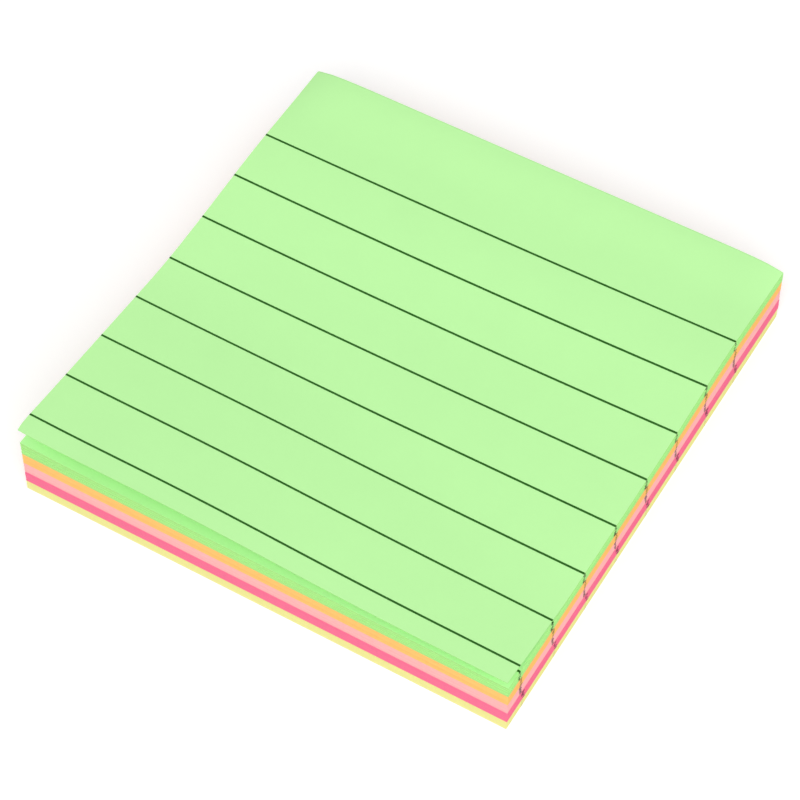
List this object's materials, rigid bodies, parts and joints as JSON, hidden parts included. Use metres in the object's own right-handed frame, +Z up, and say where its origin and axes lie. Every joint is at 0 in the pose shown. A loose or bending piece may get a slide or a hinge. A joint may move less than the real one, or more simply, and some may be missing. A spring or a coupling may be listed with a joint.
{
  "type": "sticky note pad",
  "caption": "Square pad of ruled notes in colour blocks, glued along the back edge, with its top sheet curling up at the free front edge.",
  "frame": {"origin": "middle of the pad's outline on the surface it lies on", "axes": "+Z up through the stack, +Y towards the glued back edge, +X to the right along the ruled lines"},
  "size_m": [0.0764, 0.0765, 0.0141],
  "materials": {
    "liner": "matte",
    "yellow_paper": "matte",
    "hot_pink_paper": "matte",
    "light_pink_paper": "matte",
    "orange_paper": "matte",
    "green_paper": "matte",
    "glue": "matte",
    "ink": "matte"
  },
  "bodies": {
    "root": {"backing_sheet": "liner", "yellow_sheets": "yellow_paper", "hot_pink_sheets": "hot_pink_paper", "light_pink_sheets": "light_pink_paper", "orange_sheets": "orange_paper", "green_sheets": "green_paper", "glue_strip": "glue", "top_sheet": "green_paper", "ruled_lines": "ink", "line_ends": "ink"}
  },
  "joints": []
}
